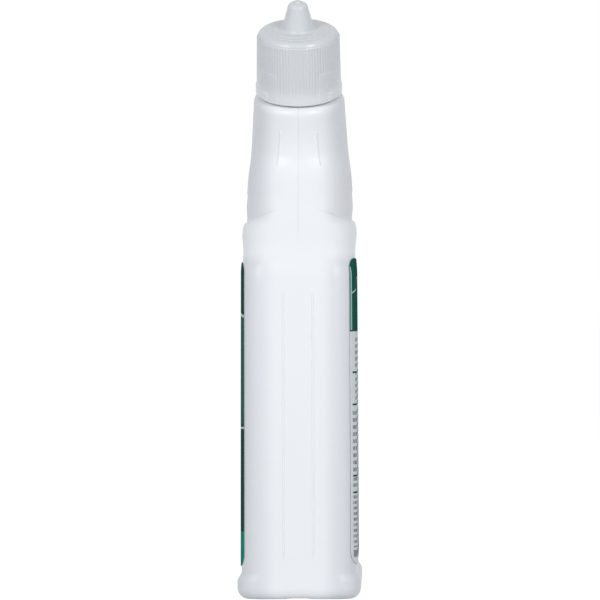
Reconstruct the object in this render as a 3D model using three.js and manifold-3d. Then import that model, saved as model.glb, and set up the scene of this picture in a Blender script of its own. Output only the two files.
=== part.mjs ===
// Toilet cleaner bottle: a blow-moulded bottle with a leaning neck, the dosing nozzle pressed into
// it, a squeeze-and-turn cap with its sealing ring, and a label on each broad side.
// Millimetres. X runs across the width, the labels face -Y and +Y, and +Z is up. The bottle stands
// on Z = 0 with its body centred on the origin, and the neck leans towards +X.

import * as THREE from 'three';
import { mergeVertices } from 'three/addons/utils/BufferGeometryUtils.js';
import Module from 'manifold-3d';

const wasm = await Module();
wasm.setup();

// Bottle body
const bodyWidth = 104; // between the narrow sides
const panelDepthLow = 26.95; // middle to label panel, above the foot
const panelDepthHigh = 26.4; // middle to label panel, below the shoulder
const cornerRadius = 11; // upright corners
const wall = 1.2; // moulded wall
const footTop = 12.5; // where the foot bead meets the panel
const footBead = 8; // height where the foot bead is full
const footProud = 2; // foot bead in front of the panel
const baseRadius = 5; // round edge of the base
const restWidth = 4; // flat ring that the bottle stands on
const pushUp = 3.2; // hollow in the base
const pushUpSlope = 5; // sloping edge of that hollow
const seamNotch = 0.6; // pinch-off notch in the standing ring
const notchHalf = 7.5; // half the notch's length
const panelTop = 149; // where the shoulder begins

// Shoulder and leaning neck
const neckLean = 24.5; // degrees from upright
const rimX = 18; // middle of the cap's rim
const rimZ = 238.85;
const neckRadius = 21.6; // just under the cap
const neckDrop = 5.5; // cap rim down to that place
const neckEdge = 4.5; // round edge under the cap
const shoulderGap = 1; // cap rim to bottle
const waistNear = { x: 30, z: 206.5 };
const waistFar = { x: -16.5, z: 218.5 };
const waistFarLean = 31;
const waistDepth = 23;
const waistCorner = 22;
const creaseNear = { x: 39.3, z: 183.5 };
const creaseFar = { x: -38.5, z: 187 };
const creaseNearLean = -22;
const creaseFarLean = 38;
const creaseDepth = 25.7;
const creaseCorner = 17;
const creaseSag = 7.5; // how far the crease falls from the narrow to the broad sides
const beadStep = 0.85; // shoulder bead in front of the crease
const beadHeight = 6;
const coveDepth = 0.5; // hollow between shoulder bead and label
const coveZ = 161.5;
const coveHalf = 9;

// Raised ribs
const ribProud = 0.4;
const ribSink = 0.5;
const ribWidth = 1.35;
const ribCrest = 0.44; // flat crest as a share of the width
const ribEnd = 0.45; // width and height left at a rib's end
const bodyRibY = 6.9;
const bodyRibLow = 21.5;
const bodyRibHigh = 143.7;
const neckRibCount = 8;
const neckRibWidth = 1.15;
const nearRibSpan = [0.35, 1.15]; // reach along the neck: 0 under the cap, 1 waist, 2 crease
const sideRibSpan = [0.3, 1.6];
const farRibSpan = [0.3, 1.75];

// Neck finish, measured along the neck from the cap's rim
const finishRadius = 12.65;
const boreRadius = 11;
const collarRadius = 15.2;
const collarTop = 2.2;
const collarChamfer = 0.8;
const lipChamfer = 0.6;
const threadPitch = 4;
const threadTurns = 1.5;
const threadStart = 16;
const threadHeight = 1.2;
const threadBase = 1.7;
const threadCrest = 0.9;
const threadClearance = 0.4;
const threadSink = 0.4; // root of the ridge inside its wall
const lockReach = 16.6;
const lockLow = 0.5;
const lockHigh = 9.5;
const lockHalfAngle = 7;
const lockAngle = 19;

// Cap
const capRimRadius = 19.7;
const capTopRadius = 19.15;
const capHeight = 30.6;
const capRound = 3;
const rimChamfer = 0.3;
const capWall = 1.4;
const capPlate = 1.6;
const capRibCount = 84;
const capRibProud = 0.35;
const capGroove = 0.06; // bottom of the grooves inside the skirt's face
const capRibLow = 5.2;
const capRibHigh = 28.2;
const padHalfAngle = 61;
const padHigh = 14.6;
const padCorner = 3;
const padProud = 0.08;
const ledgeHalfAngle = 46;
const ledgeLow = 0.3;
const ledgeHigh = 4.3;
const ledgeProud = 0.5;
const ringOuter = 14.9; // raised rings on the top plate
const ringInner = 11.9;
const ringStep = 0.3;
const coneFoot = 7.4;
const coneFillet = 1.4;
const coneTopRadius = 4.9;
const coneRise = 11; // straight part of the cone above the cap's edge
const coneRound = 2.8;
const coneWall = 1.3;
const pipRadius = 1.6;
const pipHeight = 0.7;
const sleeveWall = 1.5;
const sleeveLow = 14;
const capLockReach = 17.0;
const capLockLow = 2.5;
const capLockHigh = 11;
const capLockHalfAngle = 8;
const capThreadTurns = 1.25;
const pinLength = 2.4;

// Nozzle and sealing ring
const seatGap = 0.3; // clearance where one piece rests on another
const flangeThick = 1.2;
const flangeRadius = 12.4;
const plugLength = 9;
const plugWall = 1.2;
const spoutFoot = 6.8;
const spoutTip = 2.9;
const spoutWall = 1.2;
const spoutTaper = 1.2; // how much narrower the spout is at the cap's top plate
const spoutClearance = 0.6; // spout tip to cap
const orifice = 1.3;
const linerThick = 1.5;
const linerBore = 8.2;

// Labels
const labelThick = 0.15;
const labelGap = 0.25;
const frontLabelLow = 15; // lower edge above the ground
const frontLabelRise = 8.7; // upper edge above the panel
const frontLabelWrap = 30; // degrees round each upright corner
const backLabelLow = 16.2;
const backLabelRise = 10.6;
const backLabelWrap = 45;
const labelCorner = 4;
const labelCut = 0.8; // share of a column cut off at each corner
const panelShares = [0.35, 0.7, 0.94]; // levels up the panel
const labelPlace = 2.83; // level that the labels' tops share with the shoulder

// Sizes that follow from those above
const sideX = bodyWidth / 2;
const coneHigh = capHeight + coneRise;
const sleeveRadius = finishRadius + threadHeight + threadClearance;
const plateUnder = capHeight - capPlate;
const lipZ = plateUnder - linerThick - flangeThick - 3 * seatGap;
const flangeZ = lipZ + seatGap;
const linerZ = flangeZ + flangeThick + seatGap;
const coneTop = coneHigh + coneRound;
const coneCeiling = coneTop - coneWall;
const nozzleTop = coneCeiling - spoutClearance;

const lerp = THREE.MathUtils.lerp;
const rad = THREE.MathUtils.degToRad;
const smooth = (value) => THREE.MathUtils.smoothstep(value, 0, 1);
const neckFrame = new THREE.Matrix4().makeRotationY(rad(neckLean)).setPosition(rimX, 0, rimZ);

function solidOf(geometry) {
  const bare = geometry.clone();
  bare.deleteAttribute('normal');
  bare.deleteAttribute('uv');
  const merged = mergeVertices(bare, 1e-4);
  const vertProperties = new Float32Array(merged.attributes.position.array);
  const triVerts = new Uint32Array(merged.index.array);
  return new wasm.Manifold(new wasm.Mesh({ numProp: 3, vertProperties, triVerts }));
}

function geometryOf(solid) {
  const mesh = solid.getMesh();
  const geometry = new THREE.BufferGeometry();
  geometry.setAttribute('position', new THREE.BufferAttribute(mesh.vertProperties, 3));
  geometry.setIndex(new THREE.BufferAttribute(mesh.triVerts, 1));
  geometry.computeVertexNormals();
  return geometry;
}

// A skin over rings of equal count, closed at both ends by a point.
function loft(rings, startPoint, endPoint) {
  const count = rings[0].length;
  const points = [startPoint, ...rings.flat(), endPoint];
  const last = points.length - 1;
  const at = (row, i) => 1 + row * count + (i % count);
  const index = [];
  for (let i = 0; i < count; i += 1) {
    index.push(0, at(0, i + 1), at(0, i));
    index.push(last, at(rings.length - 1, i), at(rings.length - 1, i + 1));
    for (let row = 0; row < rings.length - 1; row += 1) {
      index.push(at(row, i), at(row, i + 1), at(row + 1, i + 1));
      index.push(at(row, i), at(row + 1, i + 1), at(row + 1, i));
    }
  }
  const geometry = new THREE.BufferGeometry().setFromPoints(points);
  geometry.setIndex(index);
  return geometry;
}

function polar(radius, angle, z) {
  return new THREE.Vector3(radius * Math.cos(angle), radius * Math.sin(angle), z);
}

function middleOf(points) {
  const sum = new THREE.Vector3();
  for (const point of points) sum.add(point);
  return sum.divideScalar(points.length);
}

// A turned shape about Z from [radius, height] pairs that climb on the outside.
function turned(profile, steps) {
  const points = profile.map(([r, z]) => new THREE.Vector2(r, z));
  return new THREE.LatheGeometry(points, steps).rotateX(Math.PI / 2);
}

// A quarter round in a profile, from one [radius, height] point towards the next.
function arc(r, z, radius, from, to, steps) {
  return Array.from({ length: steps + 1 }, (_, i) => {
    const angle = rad(lerp(from, to, i / steps));
    return [r + radius * Math.cos(angle), z + radius * Math.sin(angle)];
  });
}

// A block that follows the neck's curve between two radii, angles and heights.
function arcBlock(inner, outer, from, to, low, high, steps) {
  const rings = [];
  for (let i = 0; i <= steps; i += 1) {
    const angle = rad(lerp(from, to, i / steps));
    const top = high(angle);
    const corners = [[inner(low), low], [inner(top), top], [outer(top), top], [outer(low), low]];
    rings.push(corners.map(([r, z]) => polar(r, angle, z)));
  }
  return loft(rings, middleOf(rings[0]), middleOf(rings[steps]));
}

// A right-hand thread ridge, thinned to nothing at both ends.
function threadRidge(rootRadius, crestRadius, start, fromTurn, turns) {
  const stepsPerTurn = 20;
  const steps = Math.round(turns * stepsPerTurn);
  const sink = threadSink * Math.sign(rootRadius - crestRadius);
  const rings = [];
  for (let i = 0; i <= steps; i += 1) {
    const turn = fromTurn + (i / steps) * turns;
    const angle = 2 * Math.PI * turn;
    const fade = smooth(Math.min(i, steps - i) / 3);
    const crest = lerp(rootRadius + sink * 0.5, crestRadius, fade);
    const z = start + threadPitch * turn;
    const section = [[rootRadius + sink, -threadBase / 2], [crest, -threadCrest / 2],
      [crest, threadCrest / 2], [rootRadius + sink, threadBase / 2]];
    const ordered = crestRadius > rootRadius ? section.reverse() : section;
    rings.push(ordered.map(([r, dz]) => polar(r, angle, z + dz)));
  }
  return loft(rings, middleOf(rings[0]), middleOf(rings[steps]));
}

// The bottle's cross-section: a rectangle with round corners, met along a ray from its middle.
function sectionReach(halfSpan, halfDepth, corner, angle) {
  const c = Math.abs(Math.cos(angle));
  const s = Math.abs(Math.sin(angle));
  const r = Math.min(corner, halfSpan - 0.001, halfDepth - 0.001);
  if (halfSpan * s <= (halfDepth - r) * c) return halfSpan / c;
  if (halfDepth * c <= (halfSpan - r) * s) return halfDepth / s;
  const x = halfSpan - r;
  const y = halfDepth - r;
  const p = x * c + y * s;
  return p + Math.sqrt(p * p - (x * x + y * y - r * r));
}

// Ray angles of the section's points: close together round the corners, and on round levels even.
const cornerSteps = 6;
const sidePoints = (() => {
  const x = sideX - cornerRadius;
  const y = panelDepthLow - cornerRadius;
  const points = [[sideX, 0], [sideX, notchHalf]];
  for (let i = 0; i <= cornerSteps; i += 1) {
    const turn = rad((90 * i) / cornerSteps);
    points.push([x + cornerRadius * Math.cos(turn), y + cornerRadius * Math.sin(turn)]);
  }
  points.push([x / 2, panelDepthLow], [0, panelDepthLow]);
  return points.map(([px, py]) => Math.atan2(py, px));
})();
const quarter = sidePoints.length - 1;
const ringCount = quarter * 4;

function bodyAngle(i) {
  const turn = Math.floor(i / quarter);
  const step = i % quarter;
  const angle = turn % 2 === 0 ? sidePoints[step] : Math.PI / 2 - sidePoints[quarter - step];
  return (turn * Math.PI) / 2 + angle;
}

// One level of the bottle: its near and far ends, half depth, corner radius, sag of the broad sides
// and how evenly its points are spread.
function level(near, far, halfDepth, corner, sag = 0, even = 0) {
  return { near, far, halfDepth, corner, sag, even };
}

function levelPoint(at, angle, inset) {
  const across = at.near.clone().sub(at.far);
  const halfSpan = across.length() / 2;
  const reach = sectionReach(halfSpan - inset, at.halfDepth - inset, Math.max(at.corner - inset, 1), angle);
  const point = at.near.clone().add(at.far).multiplyScalar(0.5);
  point.addScaledVector(across.normalize(), reach * Math.cos(angle));
  point.y = reach * Math.sin(angle);
  point.z -= at.sag * (point.y / at.halfDepth) ** 2;
  return point;
}

function spreadAngle(at, i) {
  return lerp(bodyAngle(i), (2 * Math.PI * i) / ringCount, at.even);
}

function ring(at, inset = 0) {
  return Array.from({ length: ringCount }, (_, i) => levelPoint(at, spreadAngle(at, i), inset));
}

// Upright body: the label panels taper a little, with a bead round the foot.
function panelDepth(z) {
  const taper = lerp(panelDepthLow, panelDepthHigh, z / panelTop);
  const foot = footProud * (1 - smooth((z - footBead) / (footTop - footBead)));
  return taper + foot - cove(z);
}

function cove(z) {
  return coveDepth * smooth(1 - Math.abs(z - coveZ) / coveHalf);
}

function bodyLevel(z) {
  const near = new THREE.Vector3(sideX, 0, z);
  const far = new THREE.Vector3(-sideX, 0, z);
  return level(near, far, panelDepth(z), cornerRadius);
}

// Front outline: a smooth span between two points, given how far each leans from upright.
function outline(from, fromLean, to, toLean, t) {
  const length = Math.hypot(to.x - from.x, to.z - from.z);
  const bend = 3 * t ** 2 - 2 * t ** 3;
  const h = [1 - bend, t ** 3 - 2 * t ** 2 + t, bend, t ** 3 - t ** 2];
  const start = [-length * Math.sin(rad(fromLean)), -length * Math.cos(rad(fromLean))];
  const end = [-length * Math.sin(rad(toLean)), -length * Math.cos(rad(toLean))];
  const x = h[0] * from.x + h[1] * start[0] + h[2] * to.x + h[3] * end[0];
  const z = h[0] * from.z + h[1] * start[1] + h[2] * to.z + h[3] * end[1];
  return new THREE.Vector3(x, 0, z);
}

function neckRing(radius, z) {
  const near = new THREE.Vector3(radius, 0, z).applyMatrix4(neckFrame);
  const far = new THREE.Vector3(-radius, 0, z).applyMatrix4(neckFrame);
  return level(near, far, radius, radius, 0, 1);
}

// The neck and shoulder as one run: 0 under the cap, 1 at the waist, 2 at the crease, 3 at the panel.
function neckLevel(place) {
  const top = neckRing(neckRadius, -neckDrop);
  const t = place <= 1 ? place : place <= 2 ? place - 1 : place - 2;
  if (place <= 1) {
    const near = outline(top.near, neckLean, waistNear, 0, t);
    const far = outline(top.far, neckLean, waistFar, waistFarLean, t);
    return level(near, far, lerp(neckRadius, waistDepth, t), lerp(neckRadius, waistCorner, t), 0, 1);
  }
  if (place <= 2) {
    const near = outline(waistNear, 0, creaseNear, creaseNearLean, t);
    const far = outline(waistFar, waistFarLean, creaseFar, creaseFarLean, t);
    const depth = lerp(waistDepth, creaseDepth, t);
    return level(near, far, depth, lerp(waistCorner, creaseCorner, t), creaseSag * smooth(t), 1 - t / 2);
  }
  const side = { x: sideX, z: panelTop };
  const near = outline(creaseNear, creaseNearLean, side, 0, t);
  const far = outline(creaseFar, creaseFarLean, { x: -sideX, z: panelTop }, 0, t);
  const sag = creaseSag * (1 - smooth(t));
  const z = (near.z + far.z) / 2 - sag;
  const fall = Math.min((creaseNear.z + creaseFar.z) / 2 - creaseSag - z, beadHeight) / beadHeight;
  const bead = creaseDepth + beadStep * Math.sqrt(1 - (1 - fall) ** 2);
  const depth = lerp(bead, panelDepthHigh, smooth(t)) - cove(z);
  return level(near, far, depth, lerp(creaseCorner, cornerRadius, smooth(t)), sag, (1 - t) / 2);
}

// The same level at another height.
function moved(at, z) {
  return { ...at, near: at.near.clone().setZ(z), far: at.far.clone().setZ(z) };
}

function raised(points) {
  return points.map((p) => {
    if (Math.abs(p.y) > 0.001) return p;
    return p.clone().setZ(p.z + seamNotch);
  });
}

function bottleOutside() {
  const foot = bodyLevel(baseRadius);
  const rings = [];
  rings.push(ring(moved(foot, pushUp), baseRadius + restWidth + pushUpSlope));
  rings.push(raised(ring(moved(foot, 0), baseRadius + restWidth)));
  rings.push(raised(ring(moved(foot, 0), baseRadius)));
  for (const turn of [25, 50, 75]) {
    const z = baseRadius * (1 - Math.cos(rad(turn)));
    rings.push(ring(moved(foot, z), baseRadius * (1 - Math.sin(rad(turn)))));
  }
  const beadSteps = [0, 0.35, 0.65, 1].map((t) => lerp(footBead, footTop, t));
  for (const z of [baseRadius, ...beadSteps]) rings.push(ring(bodyLevel(z)));
  for (const share of panelShares) rings.push(ring(bodyLevel(lerp(footTop, panelTop, share))));
  const shoulder = [3, labelPlace, 2.66, 2.5, 2.36, 2.24, 2.14, 2.06, 2];
  const neck = [1.86, 1.7, 1.52, 1.34, 1.16, 1, 0.75, 0.5, 0.25];
  for (const place of [...shoulder, ...neck]) rings.push(ring(neckLevel(place)));
  for (const turn of [0, 30, 60, 90]) {
    const r = neckRadius - neckEdge * (1 - Math.cos(rad(turn)));
    rings.push(ring(neckRing(r, -neckDrop + (neckDrop - shoulderGap) * Math.sin(rad(turn)))));
  }
  const top = new THREE.Vector3(0, 0, -shoulderGap).applyMatrix4(neckFrame);
  return loft(rings, new THREE.Vector3(0, 0, pushUp), top);
}

function bottleInside() {
  const foot = bodyLevel(baseRadius);
  const floor = pushUp + wall;
  const rings = [];
  rings.push(ring(moved(foot, floor), baseRadius + restWidth + pushUpSlope));
  rings.push(ring(moved(foot, wall + seamNotch), baseRadius + restWidth));
  rings.push(ring(moved(foot, wall + seamNotch), baseRadius));
  rings.push(ring(moved(foot, baseRadius * 0.6), wall * 1.6));
  for (const z of [footBead, footTop]) rings.push(ring(bodyLevel(z), wall));
  rings.push(ring(bodyLevel(lerp(footTop, panelTop, 0.5)), wall));
  const places = [3, 2.66, 2.36, 2.14, 2, 1.7, 1.34, 1, 0.5];
  for (const place of places) rings.push(ring(neckLevel(place), wall));
  rings.push(ring(neckRing(neckRadius - wall, -neckDrop)));
  rings.push(ring(neckRing(neckRadius - neckEdge, -shoulderGap - 1.6 * wall)));
  rings.push(ring(neckRing(boreRadius, -shoulderGap - wall)));
  rings.push(ring(neckRing(boreRadius, lipZ + 1)));
  const top = new THREE.Vector3(0, 0, lipZ + 1).applyMatrix4(neckFrame);
  return loft(rings, new THREE.Vector3(0, 0, floor), top);
}

// A raised rib with round ends, laid along points of the outside.
function ribAlong(points, outward, width) {
  const flank = ribProud * 0.3;
  const crest = ribCrest / 2;
  const shape = [[-0.5, -ribSink], [-0.5, flank], [-crest, ribProud], [crest, ribProud],
    [0.5, flank], [0.5, -ribSink]];
  const rings = points.map((p, i) => {
    const before = points[Math.max(i - 1, 0)];
    const after = points[Math.min(i + 1, points.length - 1)];
    const along = after.clone().sub(before).normalize();
    const across = new THREE.Vector3().crossVectors(outward[i], along).normalize();
    const end = i === 0 || i === points.length - 1 ? ribEnd : 1;
    return shape.map(([u, v]) => {
      const lift = v > 0 ? v * end : v;
      return p.clone().addScaledVector(across, -u * width * end).addScaledVector(outward[i], lift);
    });
  });
  return loft(rings, middleOf(rings[0]), middleOf(rings[rings.length - 1]));
}

function neckRib(angle, [from, to]) {
  const steps = 5;
  const points = [];
  const outward = [];
  const places = [to, to - 0.03];
  for (let i = 1; i < steps; i += 1) places.push(lerp(to, from, i / steps));
  places.push(from + 0.03, from);
  for (const place of places) {
    const at = neckLevel(place);
    const here = levelPoint(at, angle, 0);
    const beside = levelPoint(at, angle + 0.02, 0);
    const above = levelPoint(neckLevel(place - 0.02), angle, 0);
    const normal = beside.sub(here).cross(above.sub(here)).normalize();
    points.push(here);
    outward.push(normal);
  }
  return ribAlong(points, outward, neckRibWidth);
}

function bodyRib(side, y) {
  const end = ribWidth / 2;
  const heights = [bodyRibLow, bodyRibLow + end, bodyRibHigh - end, bodyRibHigh];
  const points = heights.map((z) => new THREE.Vector3(side * sideX, y, z));
  return ribAlong(points, heights.map(() => new THREE.Vector3(side, 0, 0)), ribWidth);
}

function finishOutside() {
  const solid = solidOf(turned([[0, -shoulderGap - wall / 2], [collarRadius, -shoulderGap - wall / 2],
    [collarRadius, collarTop - collarChamfer], [collarRadius - collarChamfer, collarTop],
    [finishRadius, collarTop], [finishRadius, lipZ - lipChamfer], [finishRadius - lipChamfer, lipZ],
    [0, lipZ]], 32));
  const ridge = threadRidge(finishRadius, finishRadius + threadHeight, threadStart, 0, threadTurns);
  let joined = solid.add(solidOf(ridge));
  for (const side of [0, 180]) {
    const middle = lockAngle + side;
    const lug = arcBlock(() => finishRadius - threadSink, () => lockReach, middle - lockHalfAngle,
      middle + lockHalfAngle, lockLow, () => lockHigh, 2);
    joined = joined.add(solidOf(lug));
  }
  return joined;
}

function makeBottle() {
  let bottle = solidOf(bottleOutside());
  bottle = bottle.add(solidOf(geometryOf(finishOutside()).applyMatrix4(neckFrame)));
  for (let i = 0; i < neckRibCount; i += 1) {
    const angle = (2 * Math.PI * (i + 0.5)) / neckRibCount;
    const facing = Math.cos(angle);
    const span = facing > 0.7 ? nearRibSpan : facing < -0.7 ? farRibSpan : sideRibSpan;
    bottle = bottle.add(solidOf(neckRib(angle, span)));
  }
  for (const side of [1, -1]) {
    for (const y of [-bodyRibY, bodyRibY]) bottle = bottle.add(solidOf(bodyRib(side, y)));
  }
  return geometryOf(bottle.subtract(solidOf(bottleInside())));
}

// The cap's skirt narrows a little towards its top.
const skirtRadius = (z) => lerp(capRimRadius, capTopRadius, z / capHeight);

function capRibs() {
  const rings = [capRibLow, capRibHigh].map((z) => {
    const points = [];
    for (let i = 0; i < capRibCount; i += 1) {
      for (const [share, lift] of [[0, -capGroove], [0.3, capRibProud], [0.7, capRibProud]]) {
        points.push(polar(skirtRadius(z) + lift, (2 * Math.PI * (i + share)) / capRibCount, z));
      }
    }
    return points;
  });
  return loft(rings, new THREE.Vector3(0, 0, capRibLow), new THREE.Vector3(0, 0, capRibHigh));
}

function padTop(angle) {
  const fromMiddle = Math.abs(Math.abs(angle) - Math.PI / 2);
  const fromEdge = (rad(padHalfAngle) - fromMiddle) * capRimRadius;
  const near = THREE.MathUtils.clamp(fromEdge, 0, padCorner);
  return padHigh - padCorner + Math.sqrt(padCorner ** 2 - (padCorner - near) ** 2);
}

function makeCap() {
  const skirt = turned([[0, 0], [capRimRadius - rimChamfer, 0], [capRimRadius, rimChamfer],
    ...arc(capTopRadius - capRound, capHeight - capRound, capRound, 0, 90, 3),
    [0, capHeight]], capRibCount);
  const crown = turned([[0, plateUnder], [ringOuter, plateUnder], [ringOuter, capHeight + ringStep],
    [ringInner, capHeight + ringStep], [ringInner, capHeight + 2 * ringStep],
    [coneFoot + coneFillet, capHeight + 2 * ringStep], [coneFoot, capHeight + 2 * ringStep + coneFillet],
    ...arc(coneTopRadius - coneRound, coneHigh, coneRound, 0, 75, 3), [pipRadius, coneTop],
    [pipRadius, coneTop + pipHeight], [0, coneTop + pipHeight]], 28);
  const innerTop = skirtRadius(plateUnder) - capWall;
  const sleeveOuter = sleeveRadius + sleeveWall;
  const cavity = turned([[0, -1], [capRimRadius - capWall, -1], [innerTop, plateUnder - capRound],
    [innerTop - 1, plateUnder], [sleeveOuter, plateUnder], [sleeveOuter, sleeveLow],
    [sleeveRadius, sleeveLow], [sleeveRadius, plateUnder], [coneFoot, plateUnder],
    [coneFoot - coneWall, capHeight], [coneTopRadius - coneWall, coneHigh],
    [coneTopRadius - coneWall - 0.9, coneCeiling], [orifice - seatGap, coneCeiling],
    [orifice - seatGap, coneCeiling - pinLength], [0, coneCeiling - pinLength]], 28);
  let cap = solidOf(skirt).add(solidOf(crown)).add(solidOf(capRibs()));
  for (const side of [90, -90]) {
    const pad = arcBlock(() => capRimRadius - 1, (z) => skirtRadius(z) + capRibProud + padProud,
      side - padHalfAngle, side + padHalfAngle, 0, padTop, 18);
    const ledge = arcBlock(() => capRimRadius - 1, (z) => skirtRadius(z) + capRibProud + ledgeProud,
      side - ledgeHalfAngle, side + ledgeHalfAngle, ledgeLow, () => ledgeHigh, 12);
    cap = cap.add(solidOf(pad)).add(solidOf(ledge));
  }
  cap = cap.subtract(solidOf(cavity));
  for (const side of [0, 180]) {
    const lug = arcBlock(() => capLockReach, () => capRimRadius - capWall / 2,
      side - capLockHalfAngle, side + capLockHalfAngle, capLockLow, () => capLockHigh, 2);
    cap = cap.add(solidOf(lug));
  }
  const crest = finishRadius + threadClearance;
  const ridge = threadRidge(sleeveRadius, crest, threadStart + threadPitch / 2, -0.2, capThreadTurns);
  return geometryOf(cap.add(solidOf(ridge)));
}

function makeNozzle() {
  const plugRadius = boreRadius - seatGap;
  const low = flangeZ - plugLength;
  const flangeTop = flangeZ + flangeThick;
  const throat = coneCeiling - pinLength - 0.4;
  const spoutMiddle = spoutFoot - spoutTaper;
  return turned([[plugRadius - 0.5, low], [plugRadius, low + 1.2], [plugRadius, flangeZ],
    [flangeRadius, flangeZ], [flangeRadius, flangeTop], [spoutFoot, flangeTop],
    [spoutMiddle, capHeight], [spoutTip, coneHigh - 0.4], [spoutTip - 0.6, nozzleTop],
    [orifice, nozzleTop], [orifice, throat], [spoutTip - spoutWall + 0.5, throat - 2.5],
    [spoutMiddle - spoutWall, capHeight - 1], [spoutFoot - spoutWall, flangeZ - flangeThick / 2],
    [plugRadius - plugWall, flangeZ - flangeThick / 2],
    [plugRadius - plugWall, low], [plugRadius - 0.5, low]], 28);
}

function makeLiner() {
  const outer = sleeveRadius - seatGap;
  const top = linerZ + linerThick;
  return turned([[linerBore, linerZ], [outer, linerZ], [outer, top], [linerBore, top],
    [linerBore, linerZ]], 32);
}

// The level whose broad side lies at a height above the panel.
function levelAtHeight(z) {
  let low = 2;
  let high = 3;
  for (let i = 0; i < 30; i += 1) {
    const middle = (low + high) / 2;
    const at = neckLevel(middle);
    if ((at.near.z + at.far.z) / 2 - at.sag > z) low = middle;
    else high = middle;
  }
  return neckLevel(high);
}

// A label is a thin film that follows the panel and part of both upright corners, its own corners cut.
function makeLabel(side, low, high, wrap) {
  const skip = Math.round(cornerSteps - (wrap * cornerSteps) / 90) + 2;
  const first = side > 0 ? skip : skip + 2 * quarter;
  const last = side > 0 ? 2 * quarter - skip : 4 * quarter - skip;
  const levels = [bodyLevel(low), bodyLevel(low + labelCorner)];
  for (const share of panelShares) levels.push(bodyLevel(lerp(footTop, panelTop, share)));
  levels.push(neckLevel(3), neckLevel(labelPlace), levelAtHeight(high));
  const row = (at, inset, cut) => {
    const points = [];
    for (let i = first; i <= last; i += 1) points.push(levelPoint(at, spreadAngle(at, i), inset));
    const end = points.length - 1;
    points[0].lerp(points[1], cut);
    points[end].lerp(points[end - 1], cut);
    return points;
  };
  const rings = levels.map((at, k) => {
    const cut = k === 0 || k === levels.length - 1 ? labelCut : 0;
    return [...row(at, -labelGap - labelThick, cut), ...row(at, -labelGap, cut).reverse()];
  });
  return geometryOf(solidOf(filmSkin(rings)));
}

// The skin of a film from rows that run along its front and back again along its rear.
function filmSkin(rings) {
  const count = rings[0].length;
  const top = rings.length - 1;
  const at = (k, i) => k * count + (i % count);
  const index = [];
  for (let k = 0; k < top; k += 1) {
    for (let i = 0; i < count; i += 1) {
      const [upper, lower] = i < count / 2 ? [i + 1, i] : [i, i + 1];
      index.push(at(k, i), at(k, i + 1), at(k + 1, upper));
      index.push(at(k, lower), at(k + 1, i + 1), at(k + 1, i));
    }
  }
  for (let i = 0; i < count / 2 - 1; i += 1) {
    const back = count - 1 - i;
    index.push(at(0, i), at(0, back), at(0, i + 1));
    index.push(at(0, i + 1), at(0, back), at(0, back - 1));
    index.push(at(top, i), at(top, i + 1), at(top, back));
    index.push(at(top, i + 1), at(top, back - 1), at(top, back));
  }
  const geometry = new THREE.BufferGeometry().setFromPoints(rings.flat());
  geometry.setIndex(index);
  return geometry;
}

function named(name, geometry, color, roughness, metalness = 0) {
  const mesh = new THREE.Mesh(geometry, new THREE.MeshStandardMaterial({ color, roughness, metalness }));
  mesh.name = name;
  return mesh;
}

const bottle = named('bottle', makeBottle(), 0xebeef3, 0.45);
const frontFilm = makeLabel(-1, frontLabelLow, panelTop + frontLabelRise, frontLabelWrap);
const backFilm = makeLabel(1, backLabelLow, panelTop + backLabelRise, backLabelWrap);
const frontLabel = named('front_label', frontFilm, 0x2a5548, 0.4);
const backLabel = named('back_label', backFilm, 0x4b6076, 0.4);

const closure = new THREE.Group();
closure.add(named('cap', makeCap(), 0xcdd2d6, 0.35));
closure.add(named('nozzle', makeNozzle(), 0xe8ebee, 0.4));
closure.add(named('sealing_ring', makeLiner(), 0xf2f2ee, 0.8));
closure.rotation.y = rad(neckLean);
closure.position.set(rimX, 0, rimZ);

const part = new THREE.Group();
part.add(bottle, frontLabel, backLabel, closure);

export default part;
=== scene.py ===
import math

import bpy
import numpy as np
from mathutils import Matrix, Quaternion, Vector


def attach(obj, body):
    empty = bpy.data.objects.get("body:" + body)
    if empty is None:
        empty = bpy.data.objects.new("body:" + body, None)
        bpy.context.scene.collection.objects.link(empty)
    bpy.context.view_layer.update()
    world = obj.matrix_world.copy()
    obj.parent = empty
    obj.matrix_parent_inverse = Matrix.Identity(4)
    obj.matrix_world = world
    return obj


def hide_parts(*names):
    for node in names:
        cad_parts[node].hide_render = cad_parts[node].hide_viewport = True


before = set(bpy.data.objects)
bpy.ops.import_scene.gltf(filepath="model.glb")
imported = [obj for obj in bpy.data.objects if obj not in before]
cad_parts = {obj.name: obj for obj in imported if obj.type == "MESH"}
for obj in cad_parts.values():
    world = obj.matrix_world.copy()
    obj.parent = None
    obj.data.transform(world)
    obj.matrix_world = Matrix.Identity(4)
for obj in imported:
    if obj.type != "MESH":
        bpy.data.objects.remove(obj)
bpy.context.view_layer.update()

# Bottle: one shell of white polyethylene, blown in a mould that parts along both narrow sides. The wall
# is about 1.2 mm. Raised ribs stiffen the narrow sides and the grip, and the neck leans to one side.
# Sizes are in millimetres in every section, and the meshes are made in metres.
MM = 0.001
side_x = 52
panel_depth_low = 26.95
panel_depth_high = 26.4
corner_radius = 11
wall = 1.2
foot_top = 12.5
foot_bead = 8
foot_proud = 2
base_radius = 5
rest_width = 4
push_up = 3.2
push_up_slope = 5
seam_notch = 0.6
notch_half = 7.5
notch_reach = 16
notch_fade = 5
notch_height = 1.5
panel_top = 149
neck_lean = math.radians(24.5)
rim_x = 18
rim_z = 238.85
neck_radius = 21.6
neck_drop = 5.5
neck_edge = 4.5
shoulder_gap = 1
waist_near = (30, 206.5)
waist_far = (-16.5, 218.5)
waist_far_lean = 31
waist_depth = 23
waist_corner = 22
crease_near = (39.3, 183.5)
crease_far = (-38.5, 187)
crease_near_lean = -22
crease_far_lean = 38
crease_depth = 25.7
crease_corner = 17
crease_sag = 7.5
bead_step = 0.85
bead_height = 6
cove_depth = 0.5
cove_z = 161.5
cove_half = 9
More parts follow.
